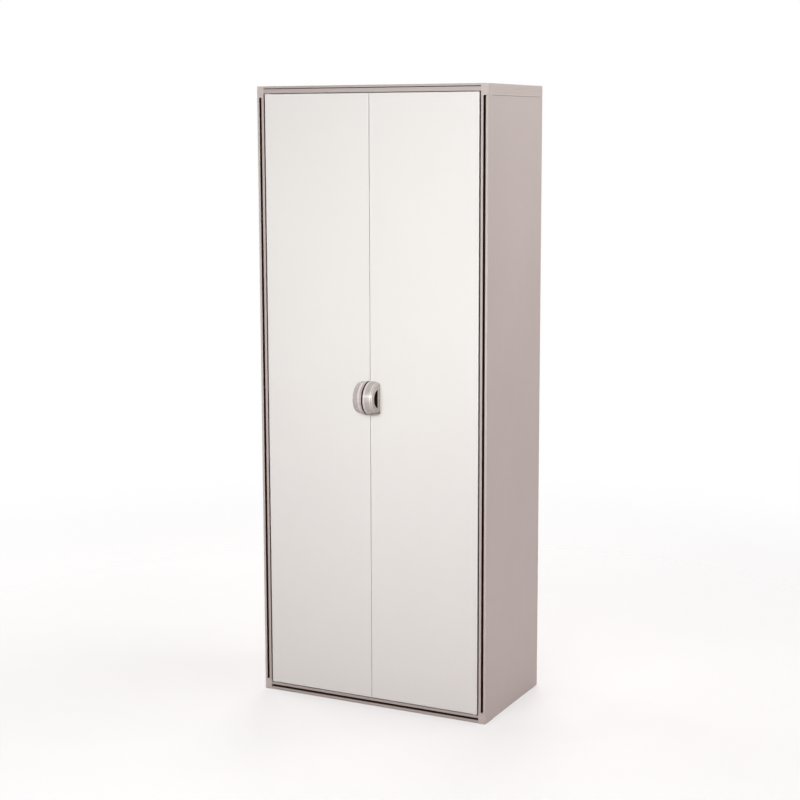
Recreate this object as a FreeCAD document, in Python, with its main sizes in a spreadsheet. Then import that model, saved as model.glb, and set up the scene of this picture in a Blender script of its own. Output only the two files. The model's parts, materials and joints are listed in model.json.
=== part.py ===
import FreeCAD, Part
import Sketcher
import math
import os

# Two-door steel cupboard: grooved front frame, folded doors with a split round
# pull, four adjustable shelves. Millimetres. X to the right, Y to the rear, Z up.
# The origin is the middle of the footprint, on the floor.

V = FreeCAD.Vector
doc = FreeCAD.newDocument("cupboard")
sheet = doc.addObject("Spreadsheet::Sheet", "Params")


class Q:
    """A length that knows both its value and the sheet expression it comes from."""

    def __init__(self, v, e):
        self.v, self.e = float(v), e

    def _op(self, other, sign, value):
        return Q(value, "(%s %s %s)" % (self.e, sign, q(other).e))

    def __add__(self, o):
        return self._op(o, "+", self.v + q(o).v)

    def __radd__(self, o):
        return q(o) + self

    def __sub__(self, o):
        return self._op(o, "-", self.v - q(o).v)

    def __rsub__(self, o):
        return q(o) - self

    def __mul__(self, o):
        return self._op(o, "*", self.v * q(o).v)

    def __rmul__(self, o):
        return q(o) * self

    def __truediv__(self, o):
        return self._op(o, "/", self.v / q(o).v)

    def __neg__(self):
        return Q(-self.v, "(0 - %s)" % self.e)


def q(x):
    return x if isinstance(x, Q) else Q(x, repr(float(x)))


CELLS = [
    # overall
    ("width", 800), ("depth", 430), ("height", 1980), ("sheet", 1.0), ("wall", 1.6),
    # vertical front frame, measured from the outer side face inwards
    ("lip", 7.9), ("grooveEnd", 15.9), ("stripEnd", 23.9), ("grooveDeep", 11), ("frameDeep", 32),
    # top rail, measured down from the top
    ("topLip", 6.7), ("topGroove", 9.1), ("topStrip", 22.2),
    # bottom rail, measured up from the floor
    ("botLip", 10.4), ("botGroove", 18), ("botStrip", 25), ("railGrooveDeep", 9), ("lipRoll", 5),
    # dark lining of the grooves
    ("trimWall", 0.8), ("trimPlay", 0.05), ("trimBack", 0.8),
    # corner connectors
    ("connWide", 23.9), ("connTall", 35), ("connTopWrap", 12), ("connBotWrap", 60), ("connBotTall", 30),
    ("skin", 2.2), ("edgeRound", 1.5),
    # side panels and rails
    ("sideFoot", 1.5), ("bandGap", 0.8), ("railWide", 22), ("ribWide", 1.4), ("ribDeep", 0.7),
    ("ribA", 11.5), ("ribB", 18.5), ("ribC", 25.5), ("baseRailIn", 10), ("baseRailWide", 44), ("rearFlange", 22),
    # floor, header
    ("floorTop", 48), ("floorBack", 21.5), ("headerLow", 1930), ("headerHigh", 1957.3), ("headerDeep", 30),
    # doors
    ("doorThick", 18), ("doorOuter", 28.4), ("centreGap", 1.5), ("doorLow", 28), ("doorHigh", 1955.5),
    ("doorHem", 5), ("hemThick", 2.2),
    ("doorLip", 20), ("stiffWide", 46), ("stiffFlange", 14),
    # pivots
    ("pivotIn", 10.4), ("pivotBack", 6.5), ("pinRad", 2.5), ("pivotPlay", 0.05), ("bushRad", 4.2),
    ("bushFlange", 5.6), ("bushTall", 5), ("lowFlange", 2.6), ("blockWide", 18), ("blockDeep", 13), ("blockTall", 28),
    # handle: a barrel round an axis that runs along X in front of the doors
    ("pullZ", 1009), ("pullFront", 6), ("pullRad", 53.5), ("pullCrown", 120), ("pullHalf", 34.8),
    ("pullGap", 4.2), ("pullWall", 3), ("pullEdge", 2.5), ("holeNear", 14.5), ("holeFar", 40),
    ("holeHalf", 29), ("holeDrop", -0.7), ("bossX", 26), ("bossZ", 37), ("bossRad", 4), ("bossLong", 32),
    ("screwRad", 1.6), ("headRad", 3.6), ("headTall", 2.2),
    # shelf uprights
    ("upY", 120), ("upWide", 26), ("upDeep", 10), ("upWall", 1.5), ("upTop", 1928),
    ("slotWide", 5), ("slotTall", 15), ("slotPitch", 32), ("slotFirst", 76), ("slotCount", 57),
    # shelves
    ("shelfHalf", 384), ("shelfFront", -176), ("shelfRear", 206), ("shelfTall", 28), ("shelfLip", 12),
    ("shelfPitch", 384), ("shelfFirst", 406), ("shelfCount", 4), ("clipWide", 14), ("clipTall", 12),
    # feet
    ("footX", 373), ("footY", 160), ("footRad", 14), ("footLift", 1), ("footThick", 6),
    ("studRad", 4), ("studTop", 43), ("plateTall", 6), ("accessRad", 6),
    # catches and buffers
    ("catchX", 60), ("catchWide", 44), ("catchLow", 1934), ("catchTall", 14), ("catchDeep", 12),
    ("strikeThick", 1), ("bufferRad", 5), ("bufferThick", 3), ("bufferX", 335), ("bufferNear", 30),
    # screws
    ("smallHead", 4.2), ("smallHeadTall", 1.6),
    # holes for fixing the back to a wall
    ("wallHoleX", 300), ("wallHoleZ", 1900), ("wallHoleRad", 3.5),
]
sheet.set("A1", "name")
sheet.set("B1", "value")
P = {}
for i, (name, value) in enumerate(CELLS):
    row = i + 2
    sheet.set("A%d" % row, name)
    sheet.set("B%d" % row, str(value))
    sheet.setAlias("B%d" % row, name)
    P[name] = Q(value, "Params." + name)
doc.recompute()

W2, D2, H = P["width"] / 2, P["depth"] / 2, P["height"]
T = P["sheet"]
FRONT = -D2
EPS = 0.3

nodes = []


def body(label):
    b = doc.addObject("PartDesign::Body", label)
    b.Label = label
    nodes.append(b)
    return b


def origin(b, role):
    return [o for o in b.Origin.OriginFeatures if o.Role == role][0]


def bind(obj, prop, value):
    value = q(value)
    if prop in ("Length", "Length2", "Radius", "Size", "Angle"):
        setattr(obj, prop, value.v)
    obj.setExpression(prop, value.e)


def datum(sk, kind, a, b, value):
    """A horizontal or vertical distance from the sketch's origin to a point."""
    k = sk.addConstraint(Sketcher.Constraint(kind, -1, 1, a, b, q(value).v))
    sk.setExpression("Constraints[%d]" % k, q(value).e)


def sketch(b, plane, loops=(), circles=(), off=0, name="Outline"):
    """Closed polygons (lists of x, y pairs) and circles (x, y, radius), every
    point held by a distance from the sketch's origin."""
    sk = b.newObject("Sketcher::SketchObject", name)
    sk.AttachmentSupport = [(origin(b, plane), "")]
    sk.MapMode = "FlatFace"
    off = q(off)
    sk.AttachmentOffset = FreeCAD.Placement(V(0, 0, off.v), FreeCAD.Rotation())
    sk.setExpression(".AttachmentOffset.Base.z", off.e)
    for loop in loops:
        pts = [(q(x), q(y)) for x, y in loop]
        n = len(pts)
        first = sk.GeometryCount
        for i in range(n):
            (x0, y0), (x1, y1) = pts[i], pts[(i + 1) % n]
            sk.addGeometry(Part.LineSegment(V(x0.v, y0.v, 0), V(x1.v, y1.v, 0)))
        for i in range(n):
            sk.addConstraint(Sketcher.Constraint("Coincident", first + i, 2, first + (i + 1) % n, 1))
        for i, (x, y) in enumerate(pts):
            datum(sk, "DistanceX", first + i, 1, x)
            datum(sk, "DistanceY", first + i, 1, y)
    for cx, cy, r in circles:
        g = sk.addGeometry(Part.Circle(V(q(cx).v, q(cy).v, 0), V(0, 0, 1), q(r).v))
        datum(sk, "DistanceX", g, 3, cx)
        datum(sk, "DistanceY", g, 3, cy)
        k = sk.addConstraint(Sketcher.Constraint("Radius", g, q(r).v))
        sk.setExpression("Constraints[%d]" % k, q(r).e)
    return sk


def arc(sk, cx, cy, r, start, end):
    """An arc that turns anticlockwise from start to end, held by its centre and radius."""
    cx, cy, r = q(cx), q(cy), q(r)
    a0 = math.atan2(start.y - cy.v, start.x - cx.v)
    a1 = math.atan2(end.y - cy.v, end.x - cx.v)
    if a1 < a0:
        a1 += 2 * math.pi
    g = sk.addGeometry(Part.ArcOfCircle(Part.Circle(V(cx.v, cy.v, 0), V(0, 0, 1), r.v), a0, a1))
    datum(sk, "DistanceX", g, 3, cx)
    datum(sk, "DistanceY", g, 3, cy)
    k = sk.addConstraint(Sketcher.Constraint("Radius", g, r.v))
    sk.setExpression("Constraints[%d]" % k, r.e)
    return g


def pad(b, sk, length, back=False):
    f = b.newObject("PartDesign::Pad", "Pad")
    f.Profile = sk
    bind(f, "Length", length)
    f.Reversed = back
    b.Tip = f
    return f


def pocket(b, sk, length, back=False):
    """Cuts against the sketch's normal, or along it when back is set."""
    before = b.Tip
    f = b.newObject("PartDesign::Pocket", "Pocket")
    f.Profile = sk
    bind(f, "Length", length)
    f.Reversed = back
    b.Tip = f
    doc.recompute()
    if not f.Shape.Volume < before.Shape.Volume - 1e-3:
        raise RuntimeError("%s: %s cuts nothing" % (b.Label, f.Name))
    return f


def round_edges(b, radius, pick, kind="Fillet"):
    """Rounds or chamfers the edges of the tip whose middle and direction suit pick."""
    doc.recompute()
    tip = b.Tip
    names = []
    for i, e in enumerate(tip.Shape.Edges):
        u = (e.FirstParameter + e.LastParameter) / 2
        if pick(e.valueAt(u), e.tangentAt(u), e):
            names.append("Edge%d" % (i + 1))
    if not names:
        raise RuntimeError("%s: no edge to round" % b.Label)
    f = b.newObject("PartDesign::" + kind, kind)
    f.Base = (tip, names)
    bind(f, "Radius" if kind == "Fillet" else "Size", radius)
    b.Tip = f
    return f


def near(a, b, tol=0.05):
    return abs(a - b) < tol


def rect(x0, y0, x1, y1):
    return [(x0, y0), (x1, y0), (x1, y1), (x0, y1)]


def across(b, loops, x0, x1, circles=()):
    """A profile in Y, Z run along X."""
    x0, x1 = q(x0), q(x1)
    return pad(b, sketch(b, "YZ_Plane", loops, circles, x0), x1 - x0)


def upward(b, loops, z0, z1, circles=()):
    """A profile in X, Y run along Z."""
    z0, z1 = q(z0), q(z1)
    return pad(b, sketch(b, "XY_Plane", loops, circles, z0), z1 - z0)


def rearward(b, loops, y0, y1, circles=()):
    """A profile in X, Z run along Y."""
    y0, y1 = q(y0), q(y1)
    return pad(b, sketch(b, "XZ_Plane", loops, circles, -y0), y1 - y0, back=True)


def cut_up(b, loops, z0, z1, circles=()):
    z0, z1 = q(z0), q(z1)
    return pocket(b, sketch(b, "XY_Plane", loops, circles, z0, "Cut"), z1 - z0, back=True)


def cut_rear(b, loops, y0, y1, circles=()):
    y0, y1 = q(y0), q(y1)
    return pocket(b, sketch(b, "XZ_Plane", loops, circles, -y0, "Cut"), y1 - y0)


def cut_across(b, loops, x0, x1, circles=()):
    x0, x1 = q(x0), q(x1)
    return pocket(b, sketch(b, "YZ_Plane", loops, circles, x0, "Cut"), x1 - x0, back=True)


def transforms(b, items):
    """Copies of the tip: mirrored, or in rows, as separate solids of one group."""
    src = [o for o in b.Group if o.TypeId in ("PartDesign::Pad", "PartDesign::Pocket", "PartDesign::Fillet")]
    mt = b.newObject("PartDesign::MultiTransform", "Group")
    made = []
    for item in items:
        if item[0] == "mirror":
            t = doc.addObject("PartDesign::Mirrored", "Mirror")
            t.MirrorPlane = (origin(b, item[1]), [""])
        else:
            t = doc.addObject("PartDesign::LinearPattern", "Row")
            t.Direction = (origin(b, item[1]), [""])
            t.setExpression("Length", q(item[2]).e)
            t.Length = q(item[2]).v
            t.Occurrences = item[3]
        made.append(t)
    mt.Originals = src
    mt.Transformations = made
    b.Tip = mt
    return mt


def side(s):
    """The x of a distance measured inwards from the outer side face."""
    return (lambda d: (W2 - d)) if s > 0 else (lambda d: (q(d) - W2))


NAME = {1: "right", -1: "left"}


def fixed(loop, s):
    """Keeps a mirrored loop in the same turning sense."""
    return loop if s > 0 else loop[::-1]


# ---------------------------------------------------------------- carcass ---

def side_panel(s):
    """Folded steel side: outer sheet, hemmed front lip, rear flange."""
    b = body(NAME[s] + "_side_panel")
    x = side(s)
    g = P["grooveDeep"]
    loop = [(x(0), FRONT), (x(P["lip"]), FRONT), (x(P["lip"]), FRONT + g), (x(P["lip"] - T), FRONT + g),
            (x(P["lip"] - T), FRONT + T), (x(T), FRONT + T), (x(T), D2 - T), (x(P["rearFlange"]), D2 - T),
            (x(P["rearFlange"]), D2), (x(0), D2)]
    upward(b, [fixed(loop, s)], P["sideFoot"], H - P["connTall"] - P["bandGap"])
    round_edges(b, P["edgeRound"], lambda m, t, e: abs(t.z) > .99 and
                (near(abs(m.x), W2.v) and near(abs(m.y), D2.v) or
                 near(abs(m.x), W2.v - P["lip"].v) and near(m.y, FRONT.v)) and
                not near(m.y, D2.v - T.v))
    # room for the bottom corner connectors
    wrap = P["connBotWrap"]
    lo, hi = (x(P["connWide"] + 5), x(-2)) if s > 0 else (x(-2), x(P["connWide"] + 5))
    cut_up(b, [rect(lo, FRONT - 2, hi, FRONT + P["frameDeep"] + EPS)], 0, P["connTall"] + EPS)
    cut_up(b, [rect(lo, D2 - P["frameDeep"] - EPS, hi, D2 + 2)], 0, P["connTall"] + EPS)
    for y0, y1, y2 in ((FRONT, FRONT + wrap - 14, FRONT + wrap), (D2, D2 - wrap + 14, D2 - wrap)):
        c = P["connBotTall"] + EPS
        e = EPS if y1.v < 0 else -EPS
        cut_across(b, [[(y0, q(0)), (y2 + e, q(0)), (y2 + e, P["sideFoot"] + 4), (y1 + e, c), (y0, c)]],
                   *((x(3), x(-1)) if s > 0 else (x(-1), x(3))))
    return b


def front_post(s):
    """Extruded section: a box behind the groove's floor, and a thin fin beside the
    door, so that the gap at the door's edge opens into the hollow behind the fin."""
    b = body(NAME[s] + "_front_post")
    x = side(s)
    g, k, e, w = P["grooveDeep"], P["grooveEnd"], P["stripEnd"], P["wall"]
    outer = [(x(T), FRONT + g), (x(k), FRONT + g), (x(k), FRONT), (x(e), FRONT), (x(e), FRONT + w),
             (x(k + w), FRONT + w), (x(k + w), FRONT + P["frameDeep"]), (x(T), FRONT + P["frameDeep"])]
    inner = [(x(T + w), FRONT + g + w), (x(k), FRONT + g + w), (x(k), FRONT + P["frameDeep"] - w),
             (x(T + w), FRONT + P["frameDeep"] - w)]
    upward(b, [fixed(outer, s)], P["connTall"], H - P["connTall"])
    round_edges(b, 1.0, lambda m, t, e: abs(t.z) > .99 and near(m.y, FRONT.v))
    cut_up(b, [fixed(inner, s)], P["connTall"] - 1, H - P["connTall"] + 1)
    return b


def front_rail(top):
    """Hollow section with the groove of the top or bottom rail, drilled for the pivots."""
    b = body("top_front_rail" if top else "bottom_front_rail")
    a, g, k = (P["topLip"], P["topGroove"], P["topStrip"]) if top else (P["botLip"], P["botGroove"], P["botStrip"])
    z = (lambda d: H - d) if top else (lambda d: q(d))
    w, deep, gd = P["wall"], P["frameDeep"], P["railGrooveDeep"]
    outer = [(FRONT, z(q(0))), (FRONT, z(a)), (FRONT + gd, z(a)), (FRONT + gd, z(g)), (FRONT, z(g)),
             (FRONT, z(k)), (FRONT + deep, z(k)), (FRONT + deep, z(q(0)))]
    inner = [(FRONT + gd + w, z(w)), (FRONT + gd + w, z(g + w)), (FRONT + w, z(g + w)), (FRONT + w, z(k - w)),
             (FRONT + deep - w, z(k - w)), (FRONT + deep - w, z(w))]
    half = W2 - P["connWide"]
    across(b, [outer], -half, half)
    round_edges(b, 1.0, lambda m, t, e: abs(t.x) > .99 and near(m.y, FRONT.v) and
                not near(m.z, z(a).v) and not near(m.z, z(g).v) and (top or not near(m.z, 0)))
    if not top:
        # the lip rolls under at the floor
        round_edges(b, P["lipRoll"], lambda m, t, e: abs(t.x) > .99 and near(m.y, FRONT.v) and near(m.z, 0))
    cut_across(b, [inner], -half - 1, half + 1)
    px, py = W2 - P["doorOuter"] - P["pivotIn"], FRONT + P["pivotBack"]
    zc = z(k)
    lo, hi = (zc - 1, zc + w + 0.5) if top else (zc - w - 0.5, zc + 1)
    cut_up(b, [], lo, hi, [(px, py, P["bushRad"]), (-px, py, P["bushRad"])])
    return b


def groove_trim(which):
    """Dark U-shaped strip that lines the groove of a post or of a front rail."""
    b = body(which + "_groove_trim")
    t, c = P["trimWall"], P["trimPlay"]
    if which in ("left", "right"):
        x = side(1 if which == "right" else -1)
        a, k, d = P["lip"] + c, P["grooveEnd"] - c, P["grooveDeep"]
        f = FRONT + P["trimBack"]
        loop = [(x(a), f), (x(a + t), f), (x(a + t), FRONT + d - t), (x(k - t), FRONT + d - t), (x(k - t), f), (x(k), f),
                (x(k), FRONT + d), (x(a), FRONT + d)]
        upward(b, [fixed(loop, 1 if which == "right" else -1)], P["connTall"], H - P["connTall"])
        return b
    a, k, d = P["botLip"] + c, P["botGroove"] - c, P["railGrooveDeep"]
    if which == "top":
        a, k = H - P["topGroove"] + c, H - P["topLip"] - c
    f = FRONT + P["trimBack"]
    loop = [(f, a), (f, a + t), (FRONT + d - t, a + t), (FRONT + d - t, k - t), (f, k - t), (f, k),
            (FRONT + d, k), (FRONT + d, a)]
    half = W2 - P["connWide"]
    across(b, [loop], -half, half)
    return b


def rear_rail(top):
    b = body("top_rear_rail" if top else "bottom_rear_rail")
    z = (lambda d: H - d) if top else (lambda d: q(d))
    w, deep, k = P["wall"], P["frameDeep"], P["topStrip"] if top else P["botStrip"]
    half = W2 - P["connWide"]
    outer = [(D2 - deep, z(q(0))), (D2, z(q(0))), (D2, z(k)), (D2 - deep, z(k))]
    inner = [(D2 - deep + w, z(w)), (D2 - w, z(w)), (D2 - w, z(k - w)), (D2 - deep + w, z(k - w))]
    across(b, [outer], -half, half)
    round_edges(b, 1.0, lambda m, t, e: abs(t.x) > .99 and near(m.y, D2.v))
    cut_across(b, [inner], -half - 1, half + 1)
    return b


def top_side_rail(s):
    """Ribbed skin along the top of the side, backed by a hollow section."""
    b = body(NAME[s] + "_top_side_rail")
    x = side(s)
    r, rd, k = P["ribWide"], P["ribDeep"], P["skin"]
    pts = [(x(0), H), (x(k), H), (x(k), H - P["connTall"]), (x(0), H - P["connTall"])]
    for d in (P["ribC"], P["ribB"], P["ribA"]):
        pts += [(x(0), H - d - r), (x(rd), H - d - r / 2), (x(0), H - d)]
    rearward(b, [fixed(pts, s)], FRONT + P["connTopWrap"], D2 - P["connTopWrap"])
    round_edges(b, 1.0, lambda m, t, e: abs(t.y) > .99 and near(abs(m.x), W2.v) and near(m.z, H.v))
    w, wide, low = P["wall"], P["railWide"], P["topStrip"]
    outer = [(x(k), H), (x(wide), H), (x(wide), H - low), (x(k), H - low)]
    inner = [(x(k + w), H - w), (x(wide - w), H - w), (x(wide - w), H - low + w), (x(k + w), H - low + w)]
    rearward(b, [fixed(outer, s), fixed(inner, s)], FRONT + P["frameDeep"], D2 - P["frameDeep"])
    return b


def base_side_rail(s):
    """Upturned channel under the floor, set back behind the side panel, which
    carries the foot nuts."""
    b = body(NAME[s] + "_bottom_side_rail")
    x = side(s)
    w, a, wide, top = P["wall"], P["baseRailIn"], P["baseRailWide"], P["botStrip"]
    loop = [(x(a), q(0)), (x(a + w), q(0)), (x(a + w), top - w), (x(wide - w), top - w), (x(wide - w), q(0)),
            (x(wide), q(0)), (x(wide), top), (x(a), top)]
    rearward(b, [fixed(loop, s)], FRONT + P["frameDeep"], D2 - P["frameDeep"])
    fx = P["footX"] * s
    cut_up(b, [], top - w - 1, top + 1, [(fx, -P["footY"], P["studRad"] + 0.6), (fx, P["footY"], P["studRad"] + 0.6)])
    return b


def connector(s, top, front):
    """Moulded corner block: the frame's members butt against it and its outer
    faces close the corner."""
    b = body("%s_%s_%s_connector" % ("top" if top else "bottom", "front" if front else "rear", NAME[s]))
    x = side(s)
    z = (lambda d: H - d) if top else (lambda d: q(d))
    wide, tall = P["connWide"], P["connTall"]
    loop = [(x(0), z(q(0))), (x(wide), z(q(0))), (x(wide), z(tall)), (x(0), z(tall))]
    if (s > 0) == top:
        loop = loop[::-1]
    y0, y1 = (FRONT, FRONT + P["frameDeep"]) if front else (D2 - P["frameDeep"], D2)
    rearward(b, [loop], y0, y1)
    ye = FRONT.v if front else D2.v
    ze = H.v if top else 0.0
    round_edges(b, P["edgeRound"], lambda m, t, e:
                (abs(t.z) > .99 and near(abs(m.x), W2.v) and near(m.y, ye)) or
                (abs(t.x) > .99 and near(m.y, ye) and near(m.z, ze)) or
                (abs(t.y) > .99 and near(abs(m.x), W2.v) and near(m.z, ze)))
    k = P["skin"]
    lo, hi = (x(k), x(-1)) if s > 0 else (x(-1), x(k))
    if top:
        # the ribbed skin of the side rail laps over the block
        w = P["connTopWrap"]
        ya, yb = (FRONT + w, FRONT + P["frameDeep"] + 1) if front else (D2 - P["frameDeep"] - 1, D2 - w)
        cut_across(b, [rect(ya, H - tall - 1, yb, H + 1)], lo, hi)
    else:
        # the block narrows under the side panel and a tapered cheek runs back along it
        ct, wrap = P["connBotTall"], P["connBotWrap"]
        ya, yb = (FRONT + P["frameDeep"] - 4, FRONT + P["frameDeep"] + 1) if front else \
            (D2 - P["frameDeep"] - 1, D2 - P["frameDeep"] + 4)
        cheek = ([(FRONT + P["frameDeep"] - 5, q(0)), (FRONT + wrap, q(0)), (FRONT + wrap, P["sideFoot"] + 4),
                  (FRONT + wrap - 14, ct), (FRONT + P["frameDeep"] - 5, ct)] if front else
                 [(D2 - P["frameDeep"] + 5, q(0)), (D2 - wrap, q(0)), (D2 - wrap, P["sideFoot"] + 4),
                  (D2 - wrap + 14, ct), (D2 - P["frameDeep"] + 5, ct)][::-1])
        across(b, [cheek], *((x(T), x(0)) if s > 0 else (x(0), x(T))))
    return b


def top_panel():
    b = body("top_panel")
    half, y = W2 - P["railWide"] - EPS, D2 - P["frameDeep"] - EPS
    z0 = H - 16
    upward(b, [rect(-half, -y, half, y)], z0, H)
    cut_up(b, [rect(T - half, T - y, half - T, y - T)], z0 - 1, H - T)
    return b


def floor_panel():
    """Folded floor of the cupboard, resting on the bottom rails, with a hole over each foot."""
    b = body("base_panel")
    xa, xb = W2 - P["stripEnd"] - EPS, W2 - T
    ya, yb = FRONT + P["floorBack"], FRONT + P["frameDeep"] + EPS
    yc, yd = D2 - P["frameDeep"] - EPS, D2 - 2 * T - EPS

    def plan(i):
        return [(i - xa, ya + i), (xa - i, ya + i), (xa - i, yb + i), (xb - i, yb + i), (xb - i, yc - i),
                (xa - i, yc - i), (xa - i, yd - i), (i - xa, yd - i), (i - xa, yc - i), (i - xb, yc - i),
                (i - xb, yb + i), (i - xa, yb + i)]

    upward(b, [plan(q(0))], P["botStrip"], P["floorTop"])
    round_edges(b, 1.0, lambda m, t, e: abs(t.x) > .99 and near(m.y, ya.v) and near(m.z, P["floorTop"].v))
    cut_up(b, [plan(T)], P["botStrip"] - 1, P["floorTop"] - T)
    c = [(P["footX"] * i, P["footY"] * j, P["accessRad"]) for i in (-1, 1) for j in (-1, 1)]
    cut_up(b, [], P["floorTop"] - T - 1, P["floorTop"] + 1, c)
    return b


def back_panel():
    """Flat back in front of the rear flanges, notched round the corner connectors."""
    b = body("back_panel")
    xa, xb = W2 - P["stripEnd"] - 0.4, W2 - T
    za, zb = P["botStrip"] + 0.4, P["connTall"] + 0.4
    zc, zd = H - P["connTall"] - 0.4, H - P["topStrip"] - 0.4
    loop = [(-xa, za), (xa, za), (xa, zb), (xb, zb), (xb, zc), (xa, zc), (xa, zd), (-xa, zd), (-xa, zc), (-xb, zc),
            (-xb, zb), (-xa, zb)]
    holes = [(P["wallHoleX"], P["wallHoleZ"], P["wallHoleRad"]), (-P["wallHoleX"], P["wallHoleZ"], P["wallHoleRad"])]
    rearward(b, [loop], D2 - 2 * T, D2 - T, holes)
    return b


def header_rail():
    """Hollow cross member behind the tops of the doors, which carries the catches."""
    b = body("header_rail")
    y0, y1, w = FRONT + P["frameDeep"], FRONT + P["frameDeep"] + P["headerDeep"], P["wall"]
    z0, z1 = P["headerLow"], P["headerHigh"]
    half = W2 - P["skin"] - EPS
    across(b, [rect(y0, z0, y1, z1), rect(y0 + w, z0 + w, y1 - w, z1 - w)], -half, half)
    return b


def upright(s, front):
    """Slotted channel that the shelf clips hook into."""
    b = body("%s_%s_shelf_upright" % ("front" if front else "rear", NAME[s]))
    x = side(s)
    yc = -P["upY"] if front else P["upY"]
    y0, y1, w = yc - P["upWide"] / 2, yc + P["upWide"] / 2, P["upWall"]
    a, c = T, T + P["upDeep"]
    loop = [(x(a), y0), (x(c), y0), (x(c), y1), (x(a), y1), (x(a), y1 - w), (x(c - w), y1 - w), (x(c - w), y0 + w),
            (x(a), y0 + w)]
    upward(b, [fixed(loop, s)], P["floorTop"], P["upTop"])
    doc.recompute()
    sl, z0 = P["slotWide"] / 2, P["slotFirst"]
    lo, hi = (x(c + 1), x(c - w - 1)) if s > 0 else (x(c - w - 1), x(c + 1))
    cut = cut_across(b, [rect(yc - sl, z0, yc + sl, z0 + P["slotTall"])], lo, hi)
    row = b.newObject("PartDesign::LinearPattern", "Slots")
    row.Originals = [cut]
    row.Direction = (origin(b, "Z_Axis"), [""])
    row.setExpression("Length", (P["slotPitch"] * (P["slotCount"] - 1)).e)
    row.setExpression("Occurrences", P["slotCount"].e)
    row.Occurrences = int(P["slotCount"].v)
    b.Tip = row
    return b


def shelf(i):
    """Folded steel shelf: edges turned down, front and rear edges turned in again."""
    b = body("shelf_%d" % i)
    z0 = P["shelfFirst"] + P["shelfPitch"] * (i - 1)
    z1 = z0 + P["shelfTall"]
    h, y0, y1, k = P["shelfHalf"], P["shelfFront"], P["shelfRear"], P["shelfLip"]
    upward(b, [rect(-h, y0, h, y1)], z0, z1)
    round_edges(b, 1.5, lambda m, t, e: abs(t.x) > .99 and (near(m.y, y0.v) or near(m.y, y1.v)) and near(m.z, z1.v))
    cut_up(b, [rect(T - h, y0 + k, h - T, y1 - k)], z0 - 1, z0 + T)
    cut_up(b, [rect(T - h, y0 + T, h - T, y1 - T)], z0 + T, z1 - T)
    return b


def shelf_clips():
    """Sixteen bent clips: a hook through the slot, a plate down the upright, a ledge."""
    b = body("shelf_clips")
    xw = W2 - T - P["upDeep"]
    z0 = P["shelfFirst"]
    y0, y1 = -P["upY"] - P["clipWide"] / 2, -P["upY"] + P["clipWide"] / 2
    loop = [(xw - 15, z0), (xw - 15, z0 - 1.6), (xw - 1.6, z0 - 1.6), (xw - 1.6, z0 - P["clipTall"]),
            (xw, z0 - P["clipTall"]), (xw, z0)]
    rearward(b, [loop[::-1]], y0, y1)
    hook = [(xw, z0 - 3.5), (xw + 3.6, z0 - 3.5), (xw + 3.6, z0 - 12), (xw + 2.1, z0 - 12), (xw + 2.1, z0 - 8.5),
            (xw, z0 - 8.5)]
    rearward(b, [hook], -P["upY"] - 2.2, -P["upY"] + 2.2)
    transforms(b, [("mirror", "YZ_Plane"), ("mirror", "XZ_Plane"),
                   ("row", "Z_Axis", P["shelfPitch"] * (P["shelfCount"] - 1), int(P["shelfCount"].v))])
    return b


def hinge_bushes():
    """Flanged bushes that the door pivots turn in: two in the top rail, two in the bottom."""
    b = body("hinge_bushes")
    px, py = W2 - P["doorOuter"] - P["pivotIn"], FRONT + P["pivotBack"]
    bore = P["pinRad"] + P["pivotPlay"]
    zt, zb = H - P["topStrip"], P["botStrip"]
    for x in (px, -px):
        upward(b, [], zt - 1, zt, [(x, py, P["bushFlange"])])
        upward(b, [], zt, zt + P["bushTall"], [(x, py, P["bushRad"])])
        upward(b, [], zb, zb + P["lowFlange"], [(x, py, P["bushFlange"])])
        upward(b, [], zb - P["bushTall"], zb, [(x, py, P["bushRad"])])
        doc.recompute()
    cut_up(b, [], zt - 2, zt + P["bushTall"] + 1, [(px, py, bore), (-px, py, bore)])
    cut_up(b, [], zb - P["bushTall"] - 1, zb + 4, [(px, py, bore), (-px, py, bore)])
    return b


def magnetic_catches():
    """Moulded catch housings on the header rail, one behind each door."""
    b = body("magnetic_catches")
    y0, y1 = FRONT + P["frameDeep"] - P["catchDeep"], FRONT + P["frameDeep"]
    x0, x1 = P["catchX"] - P["catchWide"] / 2, P["catchX"] + P["catchWide"] / 2
    z0, z1 = P["catchLow"], P["catchLow"] + P["catchTall"]
    upward(b, [rect(x0, y0, x1, y1)], z0, z1)
    round_edges(b, 1.2, lambda m, t, e: abs(t.y) > .99 or (abs(t.z) > .99 and near(m.y, y0.v)))
    doc.recompute()
    # the recess round the two pole plates, and the plates themselves
    cut_rear(b, [rect(x0 + 9, z0 + 2.4, x1 - 9, z1 - 2.4)], y0 - 0.5, y0 + 1)
    rearward(b, [rect(x0 + 10, z0 + 3.2, x1 - 10, z0 + 5)], y0, y0 + 1.5)
    rearward(b, [rect(x0 + 10, z1 - 5, x1 - 10, z1 - 3.2)], y0, y0 + 1.5)
    doc.recompute()
    transforms(b, [("mirror", "YZ_Plane")])
    return b


def door_buffers():
    """Rubber dots on the floor panel's front edge, which the doors close against."""
    b = body("door_buffers")
    y1 = FRONT + P["floorBack"]
    zc = (P["doorLow"] + P["floorTop"]) / 2
    rearward(b, [], y1 - P["bufferThick"], y1,
             [(P["bufferNear"], zc, P["bufferRad"]), (P["bufferX"], zc, P["bufferRad"])])
    transforms(b, [("mirror", "YZ_Plane")])
    return b


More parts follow.
